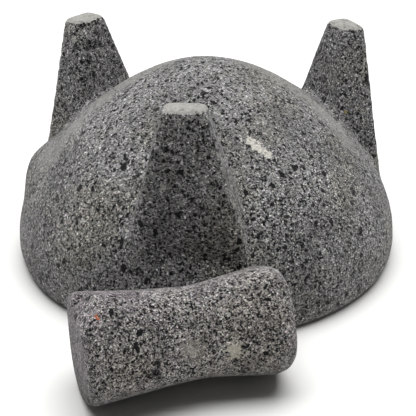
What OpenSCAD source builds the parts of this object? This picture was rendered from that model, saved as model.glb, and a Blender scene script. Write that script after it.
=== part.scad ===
// Molcajete: a stone mortar on three legs, turned rim down, with its tejolote lying in front.
// The origin is the centre of the rim circle, on the ground. +Z is up and the front leg is at -Y.

/* [Bowl] */
// Largest diameter of the bowl, just above its rim
bowl_d = 203; // [170:1:250]
// Height of the foot faces over the rim face
stand_h = 114; // [95:1:145]
// How far the feet hold the bowl's underside off a table
foot_over = 8.5; // [6:0.5:24]
// Height of the rounded lip, from the rim face up to the widest circle
lip_h = 10.5; // [5:0.5:16]
// How far the lip turns in under the widest circle
lip_in = 4; // [3:0.5:9]
// Height over which the bowl's side stays steep
dome_side = 47; // [35:1:60]
// Half width over which the dome's crown stays flat: less is more pointed
dome_crown = 36; // [30:1:60]

/* [Hollow] */
// Width of the stone from the hollow's mouth to the widest circle
rim_w = 20; // [15:0.5:30]
// Thickness of the stone between the hollow and the underside
floor_t = 38; // [25:1:50]
// Radius that rounds the hollow's edge into the rim face
hollow_edge = 3; // [1:0.5:4]
// Fullness of the hollow: 2 is an ellipse
hollow_full = 2.1; // [1.8:0.05:2.6]

/* [Legs] */
// How far the middle of a foot stands in from the widest circle
foot_in = 17.5; // [12:0.5:32]
// Width of a foot face, along the circle
foot_w = 20.5; // [14:0.5:30]
// Thickness of a foot face, along the radius
foot_t = 13; // [8:0.5:16]
// Radius of the upright edges at the foot
foot_edge = 2.5; // [1:0.25:2.5]
// How far the worn arris round a foot face is set in, and how deep it runs
foot_worn = 1.2; // [0.5:0.1:1.5]
// Width of a leg at its root
root_w = 69; // [50:1:90]
// Thickness of a leg at its root
root_t = 36; // [20:1:40]
// Height of the root, inside the stone of the bowl
root_z = 24; // [20:1:40]
// Radius of the upright edges at the root
root_edge = 3; // [3:0.5:9]
// Stone that covers the root's outer corners
root_cover = 0.5; // [0.3:0.1:3]
// Places of the three legs about the axis, cut by eye and so not quite evenly spread
leg_places = [-96, 24.5, 141.5]; // [-180:0.5:180]

/* [Tejolote] */
// Length over both ends
tejolote_l = 96; // [78:1:130]
// Thickness of the flat end, across its sides
butt_d = 49.5; // [42:0.5:64]
// Thickness of the waist
waist_d = 40.5; // [32:0.5:50]
// Thickness of the rounded grinding end
head_d = 48.5; // [42:0.5:64]
// Distance of the waist from the flat end
waist_at = 52; // [38:1:56]
// How far the grinding end is domed
head_dome = 12; // [4:0.5:16]
// Worn arris round the flat end
butt_worn = 3.6; // [1:0.1:4]
// Straightness of the sides towards the waist: 1 is a straight cone
waist_curve = 1.25; // [1:0.05:2]
// Squareness of its section: 2 is round, more is squarer
squareness = 3.3; // [2:0.1:3.5]
// Turn of its sides about its length: less than 0 tips the front side upwards
side_turn = -27; // [-45:1:45]
// Depth of the flat that it lies on
lying_flat = 0.6; // [0.2:0.1:1.5]

/* [Place of the tejolote] */
// Least gap between the mortar and the tejolote
gap = 0.5; // [0.5:0.5:20]
// Turn of its length away from the X axis
yaw = 16; // [0:1:30]
// Shift of its middle along its length
shift = -46.5; // [-60:0.5:0]

/* [Hidden] */
bowl_r = bowl_d / 2;
bowl_h = stand_h - foot_over;
hollow_r = bowl_r - rim_w;
hollow_h = bowl_h - floor_t;
foot_r = bowl_r - foot_in;
thin = 0.01;
below = 5;
arc_steps = 6;
dome_steps = 18;
head_steps = 8;
side_steps = 8;
section_steps = 32;
stone = "#8b8a87";
warm_stone = "#918c87";

// A point on a quarter of a circle of radius 1, made fuller by powers over 2
function quarter(across, up, a) = [pow(cos(a), 2 / across), pow(sin(a), 2 / up)];

// Point t of the dome's outline, a curve from the widest circle at 0 to the top at 1
function dome_at(t) =
    pow(1 - t, 3) * [bowl_r, lip_h] + 3 * pow(1 - t, 2) * t * [bowl_r, lip_h + dome_side]
    + 3 * (1 - t) * t * t * [dome_crown, bowl_h] + pow(t, 3) * [0, bowl_h];
dome = [for (i = [0 : dome_steps]) dome_at(i / dome_steps)];

// Radius of the bowl at height z
function bowl_at(z) = lookup(z, [for (p = dome) [p[1], p[0]]]);

// Outline of the bowl, from the rim face round the lip to the top of the dome
function bowl_outline() = concat(
    [[0, 0]],
    [for (i = [0 : arc_steps - 1]) let (a = 90 * i / arc_steps)
        [bowl_r - lip_in * (1 - sin(a)), lip_h * (1 - cos(a))]],
    dome
);

// Outline of the hollow, run on below the rim face so that it cuts clean
function hollow_outline() = concat(
    [[0, -below], [hollow_r + hollow_edge, -below]],
    [for (i = [0 : arc_steps]) let (a = 90 * i / arc_steps)
        [hollow_r + hollow_edge * (1 - sin(a)), hollow_edge * (1 - cos(a))]],
    [for (i = [1 : dome_steps - 1]) let (p = quarter(hollow_full, hollow_full, 90 * i / dome_steps))
        [hollow_r * p[0], hollow_edge + (hollow_h - hollow_edge) * p[1]]],
    [[0, hollow_h]]
);

// Four thin posts at the corners of an oblong that is w wide and t thick, its top at z
module corners(middle_r, w, t, edge, z) {
    for (x = [-1, 1], y = [-1, 1])
        translate([middle_r + x * (t / 2 - edge), y * (w / 2 - edge), z - thin])
            cylinder(r = edge, h = thin, $fn = 24);
}

// Distance of the root's outer face from the axis
root_out = sqrt(pow(bowl_at(root_z), 2) - pow(root_w / 2, 2)) - root_cover;

// Distance of the mortar's outermost stone from the axis at height z, bowl or leg
function stone_at(z) = max(bowl_at(z), lookup(z, [
    [root_z, norm([root_out, root_w / 2])],
    [stand_h, norm([foot_r + foot_t / 2, foot_w / 2])]]));

// A leg on the +X side, from its root in the bowl's stone to its foot face
module leg() {
    hull() {
        corners(foot_r, foot_w - 2 * foot_worn, foot_t - 2 * foot_worn,
            foot_edge - foot_worn / 2, stand_h);
        corners(foot_r, foot_w, foot_t, foot_edge, stand_h - foot_worn);
        corners(root_out - root_t / 2, root_w, root_t, root_edge, root_z);
    }
}

module mortar() {
    color(stone)
    difference() {
        union() {
            rotate_extrude($fn = 96) polygon(bowl_outline());
            for (a = leg_places) rotate([0, 0, a]) leg();
        }
        rotate_extrude($fn = 96) polygon(hollow_outline());
    }
}

// Section of the tejolote, a rounded square whose sides are 1 from the middle
function section() = [for (i = [0 : section_steps - 1])
    let (a = 360 * i / section_steps, b = a - side_turn,
        r = pow(pow(abs(cos(b)), squareness) + pow(abs(sin(b)), squareness), -1 / squareness))
    [r * cos(a), r * sin(a)]];

// How far the section reaches sideways (0) or downwards (1)
function reach(k) = max([for (p = section()) abs(p[k])]);

// Side of the tejolote, as [distance from the flat end, half thickness]
butt_r = butt_d / 2;
waist_r = waist_d / 2;
head_r = head_d / 2;
head_at = tejolote_l - head_dome;
side = concat(
    [for (i = [0 : 2]) let (a = 45 * i) [butt_worn * (1 - cos(a)), butt_r - butt_worn * (1 - sin(a))]],
    [for (i = [1 : side_steps]) let (t = i / side_steps)
        [butt_worn + (waist_at - butt_worn) * t, waist_r + (butt_r - waist_r) * pow(1 - t, waist_curve)]],
    [for (i = [1 : side_steps]) let (t = i / side_steps)
        [waist_at + (head_at - waist_at) * t, waist_r + (head_r - waist_r) * pow(t, waist_curve)]],
    [for (i = [1 : head_steps - 1]) let (p = quarter(squareness, squareness, 90 * i / head_steps))
        [head_at + head_dome * p[1], head_r * p[0]]]
);

// Height of the tejolote's middle line where it lies, at a distance x from the flat end
function middle_z(x) = reach(1) * (butt_r + (head_r - butt_r) * x / head_at) - lying_flat;

// A solid through rings of equal count, closed flat at its first ring and to a point at its last
module rings_solid(rings, tip) {
    n = len(rings[0]);
    last = (len(rings) - 1) * n;
    points = concat([for (ring = rings) each ring], [tip]);
    sides = [for (j = [0 : len(rings) - 2], i = [0 : n - 1])
        let (a = j * n + i, b = j * n + (i + 1) % n) each [[a, b, b + n], [a, b + n, a + n]]];
    cap = [for (i = [0 : n - 1]) [last + i, last + (i + 1) % n, len(points) - 1]];
    polyhedron(points, concat([[for (i = [n - 1 : -1 : 0]) i]], sides, cap));
}

module tejolote() {
    start = shift - tejolote_l / 2;
    rings = [for (s = side) [for (p = section()) [s[0], p[0] * s[1], max(0, middle_z(s[0]) + p[1] * s[1])]]];
    away = max([for (ring = rings) for (p = ring)
        p[1] + sqrt(max(0, pow(stone_at(p[2]) + gap, 2) - pow(start + p[0], 2)))]);
    color(warm_stone)
    rotate([0, 0, yaw]) translate([start, -away, 0])
        rings_solid(rings, [tejolote_l, 0, middle_z(tejolote_l)]);
}

mortar();
tejolote();
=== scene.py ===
# Molcajete: a three-legged stone mortar turned rim down, with its tejolote lying in front of it
import math
import bmesh
import bpy
from mathutils import Euler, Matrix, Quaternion, Vector


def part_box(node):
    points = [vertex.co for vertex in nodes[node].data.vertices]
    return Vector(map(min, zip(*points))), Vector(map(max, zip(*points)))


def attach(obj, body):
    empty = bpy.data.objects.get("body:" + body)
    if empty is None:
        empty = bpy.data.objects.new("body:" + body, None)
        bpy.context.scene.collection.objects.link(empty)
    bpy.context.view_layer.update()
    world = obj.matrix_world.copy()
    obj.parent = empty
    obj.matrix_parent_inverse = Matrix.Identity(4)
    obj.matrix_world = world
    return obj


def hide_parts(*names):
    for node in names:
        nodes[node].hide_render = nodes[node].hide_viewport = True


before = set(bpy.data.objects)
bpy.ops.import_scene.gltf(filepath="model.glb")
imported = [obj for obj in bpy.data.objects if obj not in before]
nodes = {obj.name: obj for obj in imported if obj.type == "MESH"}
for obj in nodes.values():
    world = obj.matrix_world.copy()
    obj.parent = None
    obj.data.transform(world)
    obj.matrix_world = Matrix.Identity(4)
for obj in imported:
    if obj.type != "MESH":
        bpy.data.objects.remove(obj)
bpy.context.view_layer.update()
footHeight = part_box("mortar")[1].z
mm = 0.001


def linear(hexColour):
    # sRGB hex to the linear values that the shaders work in, and full alpha
    parts = [int(hexColour[i:i + 2], 16) / 255 for i in (1, 3, 5)]
    return [p / 12.92 if p <= 0.04045 else ((p + 0.055) / 1.055) ** 2.4 for p in parts] + [1.0]


def addNode(tree, kind, inputs=None, **settings):
    # inputs take a value, or a socket to link from; repeated socket names go by number
    node = tree.nodes.new(kind)
    for name, value in settings.items():
        setattr(node, name, value)
    for name, value in (inputs or {}).items():
        if isinstance(value, bpy.types.NodeSocket):
            tree.links.new(value, node.inputs[name])
        else:
            node.inputs[name].default_value = value
    return node


def setRamp(node, stops):
    ramp = node.color_ramp
    while len(ramp.elements) < len(stops):
        ramp.elements.new(0.5)
    for element, (place, colour) in zip(ramp.elements, stops):
        element.position = place
        element.color = linear(colour)


# Camera and studio come first
studio = {
    "elevation": 26.64, "distance": 0.639, "lens": 101.2, "sensor": 36, "roll": 0.7, "clipStart": 0.01,
    "aim": (0.0012, 0, 0.0212),
    "floorColour": "#dededc", "floorHalf": 4.0, "floorDrop": 0.05 * mm,
    "floorRoughness": 0.9, "floorSpecular": 0.1,
    "worldColour": "#ffffff", "worldStrength": 0.12, "backdropColour": "#f4f4f2",
    # each softbox has its place, its two sides in metres, and its power
    "softboxes": {"topSoftbox": ((0.0, 0.3, 1.9), (2.4, 2.0), 87)},
    "softboxAim": (0, 0, 0.05),  # the bowl's middle
}


def makeCamera(plan):
    tilt = math.radians(plan["elevation"])
    camera = bpy.data.objects.new("camera", bpy.data.cameras.new("camera"))
    camera.data.lens = plan["lens"]
    camera.data.sensor_width = plan["sensor"]
    camera.data.clip_start = plan["clipStart"]
    camera.location = Vector(plan["aim"]) + plan["distance"] * Vector((0, -math.cos(tilt), math.sin(tilt)))
    roll = Quaternion((0, 0, 1), -math.radians(plan["roll"]))
    turn = Euler((math.pi / 2 - tilt, 0, 0)).to_quaternion() @ roll
    camera.rotation_euler = turn.to_euler()
    bpy.context.scene.collection.objects.link(camera)
    bpy.context.scene.camera = camera


def addSoftbox(name, place, size, power, target):
    box = bpy.data.objects.new(name, bpy.data.lights.new(name, "AREA"))
    box.data.shape = "RECTANGLE"
    box.data.size, box.data.size_y = size
    box.data.energy = power
    box.location = place
    aim = Vector(target) - Vector(place)
    box.rotation_euler = aim.to_track_quat("-Z", "Y").to_euler()
    bpy.context.scene.collection.objects.link(box)


def makeFloor(plan):
    half = plan["floorHalf"]
    mesh = bpy.data.meshes.new("floor")
    corners = [(-half, -half, 0), (half, -half, 0), (half, half, 0), (-half, half, 0)]
    mesh.from_pydata(corners, [], [(0, 1, 2, 3)])
    floor = bpy.data.objects.new("floor", mesh)
    floor.location.z = -plan["floorDrop"]  # just under the stones, so that no face lies in the same plane
    bpy.context.scene.collection.objects.link(floor)
    # matt backdrop paper, pale and without a shine
    paper = bpy.data.materials.new("paleBackdropPaper")
    paper.use_nodes = True
    shader = paper.node_tree.nodes["Principled BSDF"]
    shader.inputs["Base Color"].default_value = linear(plan["floorColour"])
    shader.inputs["Roughness"].default_value = plan["floorRoughness"]
    shader.inputs["Specular IOR Level"].default_value = plan["floorSpecular"]
    mesh.materials.append(paper)


def makeWorld(plan):
    # the world fills the shadows a little, and shows as a pale backdrop above the floor
    world = bpy.data.worlds.new("studio")
    world.use_nodes = True
    tree = world.node_tree
    fill = tree.nodes["Background"]
    fill.inputs["Color"].default_value = linear(plan["worldColour"])
    fill.inputs["Strength"].default_value = plan["worldStrength"]
    backdrop = addNode(tree, "ShaderNodeBackground", {"Color": linear(plan["backdropColour"])})
    seen = addNode(tree, "ShaderNodeLightPath").outputs["Is Camera Ray"]
    both = addNode(tree, "ShaderNodeMixShader", {0: seen, 1: fill.outputs[0], 2: backdrop.outputs[0]})
    tree.links.new(both.outputs[0], tree.nodes["World Output"].inputs[0])
    bpy.context.scene.world = world


makeCamera(studio)
makeFloor(studio)
makeWorld(studio)
for name, (place, size, power) in studio["softboxes"].items():
    addSoftbox(name, place, size, power, studio["softboxAim"])
bpy.context.scene.view_settings.view_transform = "Standard"
print("camera and studio are up")


# Stone. Both pieces go through one Geometry Nodes tree that softens and roughens the cut shape
dressing = {
    "flatTo": 0.3 * mm, "freeFrom": 4 * mm,  # what stands on the floor stays flat
    "spotCore": 0.7, "wornCore": 0.4, "shoulderCore": 0.0,  # the share of a reach that changes fully
    "wornPasses": 90, "bendPasses": 8,
    "waveDetail": 2.0, "waveRoughness": 0.45,
    "arrisFrom": 0.6, "arrisTo": 1.4,  # shares of the sharp bend
    "smallestHollow": 0.45, "hollowCore": 0.15,  # shares of a hollow's radius
    "raggedPerM": 420.0, "raggedLeast": 0.55, "raggedMore": 0.9,
    "breakSeed": 3, "pitSeed": 7,  # added to the piece's own seed
}
treeInputs = {
    "NodeSocketInt": ["Blend", "Seed"],
    "NodeSocketFloat": [
        "Waviness", "Wave length", "Pits per m2", "Pit radius", "Pit depth",
        "Chips per m2", "Chip radius", "Chip depth", "Breaks per m2", "Break radius", "Break depth",
        "Sharp bend", "Worn reach", "Broken reach", "Facet reach", "Shoulder reach", "Shoulder height"],
    "NodeSocketVector": [
        "Worn from", "Worn to", "Broken spot", "Facet spot", "Facet normal", "Shoulder spot"],
    "NodeSocketMaterial": ["Stone"],
}


def makeDressingTree(rules):
    tree = bpy.data.node_groups.new("dressedStone", "GeometryNodeTree")
    face = tree.interface
    face.new_socket("Geometry", in_out="INPUT", socket_type="NodeSocketGeometry")
    for kind, names in treeInputs.items():
        for name in names:
            face.new_socket(name, in_out="INPUT", socket_type=kind)
    face.new_socket("Geometry", in_out="OUTPUT", socket_type="NodeSocketGeometry")
    given = addNode(tree, "NodeGroupInput").outputs
    place = addNode(tree, "GeometryNodeInputPosition").outputs[0]
    normal = addNode(tree, "GeometryNodeInputNormal").outputs[0]
    height = addNode(tree, "ShaderNodeSeparateXYZ", {0: place}).outputs["Z"]
    offFloor = addNode(tree, "ShaderNodeMapRange", {
        "Value": height, "From Min": rules["flatTo"], "From Max": rules["freeFrom"]},
        interpolation_type="SMOOTHSTEP").outputs[0]

    def within(distance, reach, core):
        # 1 in the core of a reach, falling to 0 at its end
        part = addNode(tree, "ShaderNodeMath", {0: distance, 1: reach}, operation="DIVIDE").outputs[0]
        return addNode(tree, "ShaderNodeMapRange", {"Value": part, "From Min": 1.0, "From Max": core},
                       interpolation_type="SMOOTHSTEP").outputs[0]

    def near(spot, reach, core):
        away = addNode(tree, "ShaderNodeVectorMath", {0: place, 1: spot}, operation="DISTANCE")
        return within(away.outputs["Value"], reach, core)

    def moveOut(shape, direction, first, second):
        # pushes the surface along a direction by the product of two amounts
        amount = addNode(tree, "ShaderNodeMath", {0: first, 1: second}, operation="MULTIPLY").outputs[0]
        offset = addNode(tree, "ShaderNodeVectorMath", {0: direction, "Scale": amount}, operation="SCALE")
        return addNode(tree, "GeometryNodeSetPosition", {
            "Geometry": shape, "Offset": offset.outputs["Vector"]}).outputs[0]

    # creases and arrises worn soft
    soft = addNode(tree, "GeometryNodeBlurAttribute", {"Value": place, "Iterations": given["Blend"]},
                   data_type="FLOAT_VECTOR").outputs["Value"]
    shape = addNode(tree, "GeometryNodeSetPosition", {
        "Geometry": given["Geometry"], "Position": soft}).outputs[0]

    # one shoulder was left proud when the bowl was cut round
    shoulder = near(given["Shoulder spot"], given["Shoulder reach"], rules["shoulderCore"])
    shape = moveOut(shape, normal, shoulder, given["Shoulder height"])

    # one arris is worn right down
    line = addNode(tree, "GeometryNodeCurvePrimitiveLine", {
        "Start": given["Worn from"], "End": given["Worn to"]}).outputs[0]
    wornLine = addNode(tree, "GeometryNodeCurveToMesh", {0: line}).outputs[0]
    fromLine = addNode(tree, "GeometryNodeProximity", {0: wornLine}, target_element="EDGES")
    worn = within(fromLine.outputs["Distance"], given["Worn reach"], rules["wornCore"])
    softer = addNode(tree, "GeometryNodeBlurAttribute", {"Value": place, "Iterations": rules["wornPasses"]},
                     data_type="FLOAT_VECTOR").outputs["Value"]
    wornPlace = addNode(tree, "ShaderNodeMix", {0: worn, 4: place, 5: softer}, data_type="VECTOR").outputs[1]
    shape = addNode(tree, "GeometryNodeSetPosition", {"Geometry": shape, "Position": wornPlace}).outputs[0]

    # and one corner is ground to a facet
    fromFacet = addNode(tree, "ShaderNodeVectorMath", {
        0: place, 1: given["Facet spot"]}, operation="SUBTRACT").outputs["Vector"]
    above = addNode(tree, "ShaderNodeVectorMath", {
        0: fromFacet, 1: given["Facet normal"]}, operation="DOT_PRODUCT").outputs["Value"]
    below = addNode(tree, "ShaderNodeMath", {0: above, 1: -1.0}, operation="MULTIPLY").outputs[0]
    cut = addNode(tree, "ShaderNodeMath", {0: below, 1: 0.0}, operation="MINIMUM").outputs[0]
    onFacet = near(given["Facet spot"], given["Facet reach"], rules["spotCore"])
    shape = moveOut(shape, given["Facet normal"], cut, onFacet)

    # how sharply the surface bends, in millimetres: over 0 on an arris, under 0 in a crease
    smoother = addNode(tree, "GeometryNodeBlurAttribute", {"Value": place, "Iterations": rules["bendPasses"]},
                       data_type="FLOAT_VECTOR").outputs["Value"]
    lean = addNode(tree, "ShaderNodeVectorMath", {0: place, 1: smoother}, operation="SUBTRACT")
    bend = addNode(tree, "ShaderNodeVectorMath", {
        0: lean.outputs["Vector"], 1: normal}, operation="DOT_PRODUCT").outputs["Value"]
    bendMm = addNode(tree, "ShaderNodeMath", {0: bend, 1: 1 / mm}, operation="MULTIPLY").outputs[0]
    shape = addNode(tree, "GeometryNodeStoreNamedAttribute", {
        "Geometry": shape, "Name": "bend", "Value": bendMm}, data_type="FLOAT", domain="POINT").outputs[0]
    bent = addNode(tree, "GeometryNodeInputNamedAttribute", {"Name": "bend"}, data_type="FLOAT").outputs[0]

    # the hand-dressed surface is never quite true
    fineness = addNode(tree, "ShaderNodeMath", {
        0: 1.0, 1: given["Wave length"]}, operation="DIVIDE").outputs[0]
    wave = addNode(tree, "ShaderNodeTexNoise", {
        "Vector": place, "Scale": fineness, "Detail": rules["waveDetail"],
        "Roughness": rules["waveRoughness"]}).outputs[0]
    swing = addNode(tree, "ShaderNodeMath", {0: wave, 1: 0.5}, operation="SUBTRACT").outputs[0]
    sway = addNode(tree, "ShaderNodeMath", {
        0: swing, 1: given["Waviness"]}, operation="MULTIPLY").outputs[0]
    shape = moveOut(shape, normal, sway, offFloor)

    def hollows(shape, kind, where, name, extraSeed):
        # scoops a ragged dip at each of many random points, and keeps how deep each spot lies
        seed = addNode(tree, "ShaderNodeMath", {0: given["Seed"], 1: extraSeed}, operation="ADD").outputs[0]
        allowed = addNode(tree, "FunctionNodeCompare", {0: where, 1: 0.5},
                          data_type="FLOAT", operation="GREATER_THAN").outputs[0]
        dots = addNode(tree, "GeometryNodeDistributePointsOnFaces", {
            "Mesh": shape, "Selection": allowed, "Density": given[kind + "s per m2"], "Seed": seed},
            distribute_method="RANDOM").outputs["Points"]
        share = addNode(tree, "FunctionNodeRandomValue", {2: rules["smallestHollow"], 3: 1.0, "Seed": seed},
                        data_type="FLOAT").outputs[1]
        radius = addNode(tree, "ShaderNodeMath", {
            0: share, 1: given[kind + " radius"]}, operation="MULTIPLY").outputs[0]
        nearest = addNode(tree, "GeometryNodeSampleNearest", {"Geometry": dots}).outputs[0]
        ownRadius = addNode(tree, "GeometryNodeSampleIndex", {
            "Geometry": dots, "Value": radius, "Index": nearest}, data_type="FLOAT").outputs[0]
        away = addNode(tree, "GeometryNodeProximity", {0: dots}, target_element="POINTS").outputs["Distance"]
        noise = addNode(tree, "ShaderNodeTexNoise", {
            "Vector": place, "Scale": rules["raggedPerM"], "Detail": 1.0}).outputs[0]
        ragged = addNode(tree, "ShaderNodeMath", {0: noise, 1: rules["raggedMore"], 2: rules["raggedLeast"]},
                         operation="MULTIPLY_ADD").outputs[0]
        raggedAway = addNode(tree, "ShaderNodeMath", {0: away, 1: ragged}, operation="MULTIPLY").outputs[0]
        depth = within(raggedAway, ownRadius, rules["hollowCore"])
        for limit in (offFloor, where):
            depth = addNode(tree, "ShaderNodeMath", {0: depth, 1: limit}, operation="MULTIPLY").outputs[0]
        shape = addNode(tree, "GeometryNodeStoreNamedAttribute", {
            "Geometry": shape, "Name": name, "Value": depth}, data_type="FLOAT", domain="POINT").outputs[0]
        kept = addNode(tree, "GeometryNodeInputNamedAttribute", {"Name": name}, data_type="FLOAT").outputs[0]
        inwards = addNode(tree, "ShaderNodeMath", {
            0: given[kind + " depth"], 1: -1.0}, operation="MULTIPLY").outputs[0]
        return moveOut(shape, normal, kept, inwards)

    bendShare = addNode(tree, "ShaderNodeMath", {
        0: bent, 1: given["Sharp bend"]}, operation="DIVIDE").outputs[0]
    onArris = addNode(tree, "ShaderNodeMapRange", {
        "Value": bendShare, "From Min": rules["arrisFrom"], "From Max": rules["arrisTo"]},
        interpolation_type="SMOOTHSTEP").outputs[0]
    atBreak = near(given["Broken spot"], given["Broken reach"], rules["spotCore"])
    shape = hollows(shape, "Chip", onArris, "chip", 0)
    shape = hollows(shape, "Break", atBreak, "break", rules["breakSeed"])
    shape = hollows(shape, "Pit", 1.0, "pit", rules["pitSeed"])
    shape = addNode(tree, "GeometryNodeSetShadeSmooth", {"Geometry": shape}).outputs[0]
    shape = addNode(tree, "GeometryNodeRealizeInstances", {"Geometry": shape}).outputs[0]
    shape = addNode(tree, "GeometryNodeSetMaterial", {
        "Geometry": shape, "Material": given["Stone"]}).outputs[0]
    addNode(tree, "NodeGroupOutput", {0: shape})
    return tree


def copyMerged(name):
    # a copy of a CAD node's loose triangles, joined into one skin
    mesh = nodes[name].data.copy()
    bm = bmesh.new()
    bm.from_mesh(mesh)
    bmesh.ops.remove_doubles(bm, verts=bm.verts, dist=0.001 * mm)
    bm.to_mesh(mesh)
    bm.free()
    mesh.materials.clear()
    copy = bpy.data.objects.new(name + "Copy", mesh)
    bpy.context.scene.collection.objects.link(copy)
    return copy


def bakeDown(source, name):
    # turns an object with its modifiers into a plain mesh at the origin
    bpy.context.view_layer.update()
    evaluated = source.evaluated_get(bpy.context.evaluated_depsgraph_get())
    mesh = bpy.data.meshes.new_from_object(evaluated)
    mesh.name = name
    piece = bpy.data.objects.new(name, mesh)
    bpy.context.scene.collection.objects.link(piece)
    bpy.data.objects.remove(source)
    return piece


def dressStone(node, name, sizes, stone, tree):
    copy = copyMerged(node)
    remesh = copy.modifiers.new("evenSkin", "REMESH")
    remesh.mode = "VOXEL"
    remesh.voxel_size = sizes["voxel"]
    dress = copy.modifiers.new("dress", "NODES")
    dress.node_group = tree
    sockets = {item.name: item.identifier for item in tree.interface.items_tree if item.in_out == "INPUT"}
    for label, value in sizes["tree"].items():
        dress[sockets[label]] = value
    dress[sockets["Stone"]] = stone
    piece = bakeDown(copy, name)
    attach(piece, node)
    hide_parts(node)
    print(name, "has", sum(len(p.vertices) - 2 for p in piece.data.polygons), "triangles")
    return piece


def spotsAlong(start, end=None, count=1, middle=None):
    # one spot, or evenly spread ones from start to end, bowed towards the middle if one is given
    start, end = Vector(start), Vector(end or start)
    pull = Vector(middle) if middle else (start + end) / 2
    for i in range(count):
        share = i / max(count - 1, 1)
        yield ((1 - share) ** 2 * start + 2 * (1 - share) * share * pull + share ** 2 * end) * mm


def makeStone(name, look):
    # vesicular volcanic stone, cut and dressed by hand: packed dark and pale grains about a millimetre
    # across with open pores between them, quite matt
    stone = bpy.data.materials.new(name)
    stone.use_nodes = True
    tree = stone.node_tree
    shader = tree.nodes["Principled BSDF"]
    coordinates = addNode(tree, "ShaderNodeTexCoord").outputs
    own = coordinates["Object"]
    height = addNode(tree, "ShaderNodeSeparateXYZ", {0: own}).outputs["Z"]
    up = addNode(tree, "ShaderNodeSeparateXYZ", {0: coordinates["Normal"]}).outputs["Z"]
    bend = addNode(tree, "ShaderNodeAttribute", attribute_name="bend").outputs["Fac"]
    pit = addNode(tree, "ShaderNodeAttribute", attribute_name="pit").outputs["Fac"]
    broken = addNode(tree, "ShaderNodeAttribute", attribute_name="break").outputs["Fac"]

    def pushed(size, amount):
        # the place, pushed about by noise, so that no outline looks drawn
        noise = addNode(tree, "ShaderNodeTexNoise", {"Vector": own, "Scale": 1 / size, "Detail": 2.0})
        centred = addNode(tree, "ShaderNodeVectorMath", {
            0: noise.outputs["Color"], 1: (0.5, 0.5, 0.5)}, operation="SUBTRACT").outputs["Vector"]
        shift = addNode(tree, "ShaderNodeVectorMath", {0: centred, "Scale": amount}, operation="SCALE")
        moved = addNode(tree, "ShaderNodeVectorMath", {0: own, 1: shift.outputs["Vector"]}, operation="ADD")
        return moved.outputs["Vector"]

    def cells(place, size):
        # the stone's grains or holes: how far a place is from its cell's middle, and the cell's own picks
        found = addNode(tree, "ShaderNodeTexVoronoi", {"Vector": place, "Scale": 1 / size}).outputs
        picks = addNode(tree, "ShaderNodeSeparateColor", {0: found["Color"]}).outputs
        return found["Distance"], picks

    def around(place, spot, reach, core, most=1.0):
        # most within the core of a spot, falling to 0 at its reach
        away = addNode(tree, "ShaderNodeVectorMath", {0: place, 1: spot}, operation="DISTANCE")
        return addNode(tree, "ShaderNodeMapRange", {
            "Value": away.outputs["Value"], "From Min": reach, "From Max": core * reach, "To Max": most},
            interpolation_type="SMOOTHSTEP").outputs[0]

    # packed grains
    moved = pushed(look["grain"], look["grain"] * look["grainPush"])
    coarse = cells(moved, look["grain"])[1]
    fine = cells(moved, look["grain"] * look["fineGrain"])[1]

    # open pores: ragged holes in a share of the cells, crowded here and sparse there
    crowd = addNode(tree, "ShaderNodeTexNoise", {
        "Vector": own, "Scale": 1 / look["crowd"], "Detail": 2.0}).outputs[0]
    holes = []
    for size, share, smallest, largest in (look["smallPores"], look["largePores"]):
        away, picks = cells(pushed(size * look["porePushSize"], size), size)
        crowded = addNode(tree, "ShaderNodeMath", {0: picks[0], 1: crowd}, operation="ADD").outputs[0]
        chosen = addNode(tree, "ShaderNodeMath", {
            0: crowded, 1: 1 + look["crowdMean"] - share}, operation="GREATER_THAN").outputs[0]
        radius = addNode(tree, "ShaderNodeMapRange", {
            "Value": picks[1], "To Min": smallest, "To Max": largest}).outputs[0]
        inside = addNode(tree, "ShaderNodeMath", {0: radius, 1: away}, operation="SUBTRACT").outputs[0]
        edge = addNode(tree, "ShaderNodeMapRange", {
            "Value": inside, "From Max": look["poreEdge"]}, interpolation_type="SMOOTHSTEP").outputs[0]
        holes.append(addNode(tree, "ShaderNodeMath", {0: edge, 1: chosen}, operation="MULTIPLY").outputs[0])

    # how much of the surface is: facing up, where the painted glints are evened for the top light, rubbed
    # on arrises, ground flat on the foot faces, and low on a piece, darkened there by painted shade
    parts = {}
    for part, value, low, high, most in (
            ("litTop", up, look["litTopFrom"], look["litTopTo"], look["litTopMost"]),
            ("rubbed", bend, look["rubbedFrom"], look["rubbedTo"], look["rubbedMost"]),
            ("foot", height, look["footFrom"], look["footFrom"] + look["footEdge"], 1.0),
            ("lowShade", height, look["lowShadeTo"], look["lowShadeTo"] * look["lowShadeCore"], look["lowShadeMost"])):
        parts[part] = addNode(tree, "ShaderNodeMapRange", {
            "Value": value, "From Min": low, "From Max": high, "To Max": most},
            interpolation_type="SMOOTHSTEP").outputs[0]

    # painted sheen: a pale, smooth band between the legs where the dome turns edge on; grains and pores
    # filled
    limbSheen = 0.0
    for start, middle, end in look["limbSheenBands"]:
        for spot in spotsAlong(start, end, look["limbSheenSpots"], middle):
            spotSheen = around(own, spot, look["limbSheenReach"], look["limbSheenCore"])
            limbSheen = addNode(tree, "ShaderNodeMath", {0: limbSheen, 1: spotSheen}, operation="MAXIMUM").outputs[0]

    # how strongly each of those parts shows
    shares = {}
    for share, value, by in (
            ("limbSheenColour", limbSheen, look["limbSheenShows"]), ("limbSheenFill", limbSheen, look["limbSheenFills"]),
            ("footColour", parts["foot"], look["footShows"]), ("footFill", parts["foot"], look["footFills"]),
            ("footFlat", parts["foot"], look["footFlattens"]),
            ("pitDark", pit, look["pitShows"]), ("breakDark", broken, look["breakShows"])):
        shares[share] = addNode(tree, "ShaderNodeMath", {0: value, 1: by}, operation="MULTIPLY").outputs[0]
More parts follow.
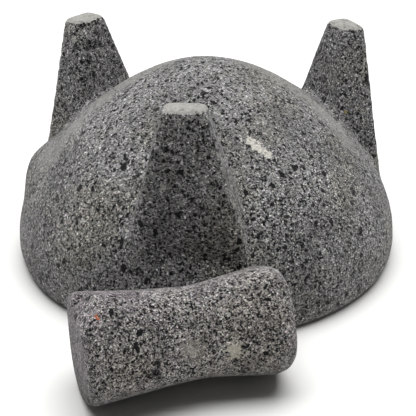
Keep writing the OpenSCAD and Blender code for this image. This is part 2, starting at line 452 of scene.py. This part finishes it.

    # pores are filled on the foot faces and under the painted sheen band
    allPores = addNode(tree, "ShaderNodeMath", {0: holes[0], 1: holes[1]}, operation="MAXIMUM").outputs[0]
    filled = addNode(tree, "ShaderNodeMath", {
        0: shares["footFill"], 1: shares["limbSheenFill"]}, operation="MAXIMUM").outputs[0]
    unfilled = addNode(tree, "ShaderNodeMath", {0: 1.0, 1: filled}, operation="SUBTRACT").outputs[0]
    pores = addNode(tree, "ShaderNodeMath", {0: allPores, 1: unfilled}, operation="MULTIPLY").outputs[0]
    # painted shade inside hollows: pits and breaks darken by their depth, as the open pores above do
    dips = addNode(tree, "ShaderNodeMath", {
        0: shares["pitDark"], 1: shares["breakDark"]}, operation="MAXIMUM").outputs[0]
    allDark = addNode(tree, "ShaderNodeMath", {0: pores, 1: dips}, operation="MAXIMUM").outputs[0]
    dark = addNode(tree, "ShaderNodeMath", {
        0: allDark, 1: look["poreDarkness"]}, operation="MULTIPLY").outputs[0]

    # clouds of lighter and darker stone, and wide, faint warm and cool stains
    cloud = addNode(tree, "ShaderNodeTexNoise", {
        "Vector": own, "Scale": 1 / look["cloud"], "Detail": 4.0}).outputs[0]
    cloudTone = addNode(tree, "ShaderNodeMapRange", {
        "Value": cloud, "From Min": look["cloudFrom"], "From Max": look["cloudTo"],
        "To Min": look["cloudDarkest"], "To Max": look["cloudPalest"]}).outputs[0]
    cloudColour = addNode(tree, "ShaderNodeCombineColor", {
        0: cloudTone, 1: cloudTone, 2: cloudTone}).outputs[0]
    stain = addNode(tree, "ShaderNodeTexNoise", {
        "Vector": own, "Scale": 1 / look["stain"], "Detail": 3.0}).outputs[0]

    tones = {}
    for tone, value in (("crystals", coarse[0]), ("sparkle", fine[0]), ("casts", fine[1]), ("stains", stain)):
        ramp = addNode(tree, "ShaderNodeValToRGB", {0: value})
        setRamp(ramp, look[tone])
        tones[tone] = ramp.outputs[0]

    # painted glints: pale specks stand in for glints, and turn flat grey where the stone faces the top light
    glints = addNode(tree, "ShaderNodeMix", {
        0: parts["litTop"], 6: tones["sparkle"], 7: linear(look["litTopColour"])},
        data_type="RGBA", blend_type="MIX").outputs[2]

    # from the grains up: glints, clouds, casts from grain to grain and stains, then wear and painted light
    layers = [
        ("MULTIPLY", 1.0, glints),
        ("MULTIPLY", 1.0, cloudColour),
        ("MULTIPLY", 1.0, tones["casts"]),
        ("MULTIPLY", 1.0, tones["stains"]),
        # painted sheen over the band where the dome turns edge on
        ("MIX", shares["limbSheenColour"], linear(look["limbSheenColour"])),
        ("MIX", parts["rubbed"], linear(look["rubbedColour"])),
        ("MIX", shares["footColour"], linear(look["groundColour"])),
        # painted shade low on a piece
        ("MIX", parts["lowShade"], linear(look["lowShadeColour"])),
        # painted shade inside pores, pits and breaks
        ("MIX", dark, linear(look["poreColour"])),
    ]
    # pale bruises where the stone was knocked, dark notches, and grains of another colour
    for hexColour, radius, share, streaks in look["marks"]:
        ragged = pushed(look["markGrain"], look["markRagged"] * radius * mm)
        for streak in streaks:
            for spot in spotsAlong(*streak):
                mark = around(ragged, spot, radius * mm, look["markCore"], share)
                layers.append(("MIX", mark, linear(hexColour)))
    colour = tones["crystals"]
    for kind, share, over in layers:
        colour = addNode(tree, "ShaderNodeMix", {0: share, 6: colour, 7: over},
                         data_type="RGBA", blend_type=kind).outputs[2]

    # grains stand up a little, and pores go in
    rough = addNode(tree, "ShaderNodeTexNoise", {
        "Vector": own, "Scale": look["bumpFineness"] / look["grain"], "Detail": 3.0,
        "Roughness": 0.6}).outputs[0]
    poreDepth = addNode(tree, "ShaderNodeMath", {
        0: pores, 1: look["poreDepth"]}, operation="MULTIPLY").outputs[0]
    lift = addNode(tree, "ShaderNodeMath", {0: rough, 1: poreDepth}, operation="SUBTRACT").outputs[0]
    unground = addNode(tree, "ShaderNodeMath", {
        0: 1.0, 1: shares["footFlat"]}, operation="SUBTRACT").outputs[0]
    flatLift = addNode(tree, "ShaderNodeMath", {0: lift, 1: unground}, operation="MULTIPLY").outputs[0]
    bump = addNode(tree, "ShaderNodeBump", {
        "Height": flatLift, "Strength": look["bump"], "Distance": look["bumpDistance"]}).outputs[0]
    dull = addNode(tree, "ShaderNodeMapRange", {
        "Value": fine[2], "To Min": look["roughness"][0], "To Max": look["roughness"][1]}).outputs[0]
    tree.links.new(colour, shader.inputs["Base Color"])
    tree.links.new(bump, shader.inputs["Normal"])
    tree.links.new(dull, shader.inputs["Roughness"])
    shader.inputs["IOR"].default_value = look["ior"]
    shader.inputs["Specular IOR Level"].default_value = look["specular"]
    shader.inputs["Sheen Weight"].default_value = look["dust"]
    shader.inputs["Sheen Roughness"].default_value = look["dustRoughness"]
    return stone


# Places and mark radii are millimetres on the stone. A mark is a single place, or a streak with its
# start, its end and the number of spots in it
mortarStone = {
    "grain": 0.72 * mm, "grainPush": 1.2, "fineGrain": 0.8,
    "crowd": 6 * mm, "crowdMean": 0.5, "cloud": 30 * mm, "stain": 40 * mm,
    "cloudFrom": 0.3, "cloudTo": 0.7, "cloudDarkest": 0.72, "cloudPalest": 1.26,
    # cell size, share of cells with a pore, and its smallest and largest radius as parts of a cell
    "smallPores": (2.3 * mm, 0.48, 0.26, 0.5), "largePores": (5.5 * mm, 0.45, 0.18, 0.36),
    "porePushSize": 0.42, "poreEdge": 0.06,
    # painted shade inside pores, pits and breaks, down to this near black
    "poreDarkness": 1.0, "poreDepth": 0.9, "poreColour": "#0c0c0d",
    "crystals": [(0.0, "#222223"), (0.13, "#323233"), (0.2, "#848483"), (0.5, "#a6a6a4"), (0.8, "#b8b8b6"),
                 (0.91, "#d6d5d3"), (0.98, "#ffffff")],
    # pale specks of the fine grains: partly pale crystals, partly painted glints
    "sparkle": [(0.0, "#303030"), (0.14, "#646464"), (0.27, "#b2b2b2"), (0.75, "#cacaca"), (0.86, "#f8f8f8"),
                (1.0, "#ffffff")],
    "casts": [(0.0, "#efeafb"), (0.2, "#f6f6fa"), (0.45, "#f4f8ec"), (0.6, "#f6f6f6"), (0.8, "#fbeef2"),
              (1.0, "#e9f3f6")],  # faint violet, olive and pink
    "stains": [(0.35, "#fdfdfc"), (0.5, "#ffffff"), (0.65, "#fffdf4")],
    # two painted sheen bands on the dome: where each starts, the place that it bows towards, and where it
    # ends
    "limbSheenBands": [((-80, -12, 58), (-60, 7, 90), (-24, 13, 99)), ((22, 13, 99), (53, 7, 91), (72, -10, 67))],
    "limbSheenSpots": 5, "limbSheenReach": 15 * mm, "limbSheenCore": 0.3, "limbSheenColour": "#878682",
    "limbSheenShows": 0.6, "limbSheenFills": 0.7,
    # painted light: where the stone faces up, its pale specks are evened to this grey for the top light
    "litTopFrom": 0.6, "litTopTo": 0.95, "litTopMost": 0.75, "litTopColour": "#bababa",
    "rubbedFrom": 0.35, "rubbedTo": 0.8, "rubbedMost": 0.12, "rubbedColour": "#8f8e8b",
    "footFrom": footHeight - 1.6 * mm, "footEdge": 0.8 * mm, "groundColour": "#908e89",
    "footShows": 0.75, "footFills": 0.6, "footFlattens": 0.85,
    # painted shade towards the floor; none on the bowl
    "lowShadeTo": 1 * mm, "lowShadeCore": 0.4, "lowShadeMost": 0.0, "lowShadeColour": "#383735",
    # how much painted shade darkens pits and breaks
    "pitShows": 0.7, "breakShows": 0.55,
    "markGrain": 1.6 * mm, "markRagged": 2.8, "markCore": 0.7,
    "marks": [
        # the bruise on the dome, wide and then narrow
        ("#c4c1b9", 2.8, 0.95, [((22.5, -51, 82.5), (27, -53.5, 79.5), 3)]),
        ("#c4c1b9", 2.0, 0.95, [((29, -54, 78), (31, -54.5, 77), 2)]),
        # pale knocks beside the front leg, on it, and round the left-back foot
        ("#b3b1ac", 1.8, 0.6, [((-37, -67.5, 63),), ((-19.5, -90, 77),), ((-71, 41, 105), (-65, 44, 108), 2),
                               ((-68, 42, 102),)]),
        # dark notches, painted shade in small chips: over the bruise, on the dome's left, and in the broken
        # patch
        ("#141415", 1.7, 0.9, [((27, -46, 84),), ((-24, -32.5, 92.5),),
                               ((-59.5, 47.5, 106), (-60, 45, 101.5), 2), ((-70, 39, 101.5),)]),
        # two short cracks on the dome
        ("#232323", 1.2, 0.8, [((11.5, -21, 100), (16, -23.5, 98.5), 3),
                               ((-43, -8, 90), (-47, -12, 87.5), 3)]),
        # a yellow grain on the right leg
        ("#a08f3c", 0.9, 0.9, [((75.5, 11, 72),)])],
    "bump": 1.0, "bumpDistance": 1.1 * mm, "bumpFineness": 0.8, "roughness": (0.7, 0.9),
    "ior": 1.5, "specular": 0.2,  # open pores swallow most of the gloss
    "dust": 0.2, "dustRoughness": 0.3,  # stone dust, which pales what is seen edge on
}
tejoloteStone = dict(
    mortarStone, grain=0.62 * mm, cloud=13 * mm, smallPores=(1.7 * mm, 0.52, 0.24, 0.5),
    footFrom=1.0,  # above the piece, because it has no ground foot faces
    # painted shade: the lowest 24 mm of the hand stone are darkened, where shade falls near the floor
    limbSheenBands=[], litTopMost=0.0, lowShadeTo=24 * mm, lowShadeMost=0.5,
    rubbedFrom=0.12, rubbedTo=0.4, rubbedMost=0.5, rubbedColour="#9c9892",
    crystals=[(0.0, "#252426"), (0.15, "#363435"), (0.22, "#8c8887"), (0.5, "#b5b1ae"), (0.76, "#c8c4c1"),
              (0.9, "#e8e4e0"), (1.0, "#ffffff")],
    stains=[(0.35, "#f7f0f8"), (0.5, "#ffffff"), (0.65, "#fbfaf4")],
    marks=[
        # two pale patches on the waist and an orange grain by the flat end
        ("#b8b3a4", 4.2, 0.75, [((12, -151, 28.5),)]),
        ("#b0aca2", 6.5, 0.35, [((-5, -153.5, 31),)]),
        ("#a05a35", 1.3, 0.9, [((-45.5, -157.5, 50.5),)])])

mortarSizes = {"voxel": 1.4 * mm, "tree": {
    "Blend": 3, "Waviness": 1.6 * mm, "Wave length": 34 * mm,
    "Pits per m2": 2600.0, "Pit radius": 2.0 * mm, "Pit depth": 0.9 * mm,
    "Chips per m2": 9000.0, "Chip radius": 3.2 * mm, "Chip depth": 0.7 * mm, "Sharp bend": 0.7,
    "Breaks per m2": 30000.0, "Break radius": 4.16 * mm, "Break depth": 2.1 * mm,
    "Broken spot": Vector((-67, 43, 104)) * mm, "Broken reach": 10 * mm,
    "Worn from": Vector((-36, -104, 98)) * mm, "Worn to": Vector((-44, -90.5, 26)) * mm,
    "Worn reach": 16 * mm,
    "Facet spot": Vector((74, 30, 114)) * mm, "Facet normal": Vector((-0.35, -0.45, 0.82)).normalized(),
    "Facet reach": 22 * mm,
    "Shoulder spot": Vector((-88, 2, 49)) * mm, "Shoulder reach": 26 * mm, "Shoulder height": 5.5 * mm,
    "Seed": 11}}
tejoloteSizes = {"voxel": 0.6 * mm, "tree": {
    "Blend": 5, "Waviness": 1.2 * mm, "Wave length": 22 * mm,
    "Pits per m2": 5200.0, "Pit radius": 1.5 * mm, "Pit depth": 0.8 * mm,
    "Chips per m2": 9000.0, "Chip radius": 2.6 * mm, "Chip depth": 0.6 * mm, "Sharp bend": 0.3,
    "Breaks per m2": 30000.0, "Break radius": 3.38 * mm, "Break depth": 1.8 * mm,
    "Broken spot": Vector((-20, -160.5, 26)) * mm, "Broken reach": 7 * mm,
    "Worn from": Vector((37, -142, 12)) * mm, "Worn to": Vector((40, -124, 48)) * mm, "Worn reach": 8 * mm,
    "Facet spot": Vector((-52, -150, 48)) * mm, "Facet normal": Vector((-0.7, -0.2, 0.68)),
    "Facet reach": 14 * mm,
    "Shoulder height": 0.0, "Shoulder reach": 1 * mm,  # no shoulder on this piece
    "Seed": 5}}

dressingTree = makeDressingTree(dressing)
greyStone = makeStone("greyVolcanicStone", mortarStone)
mortar = dressStone("mortar", "carvedMortar", mortarSizes, greyStone, dressingTree)
print("mortar is dressed")
warmStone = makeStone("warmVolcanicStone", tejoloteStone)
tejolote = dressStone("tejolote", "handStone", tejoloteSizes, warmStone, dressingTree)
print("tejolote is dressed")
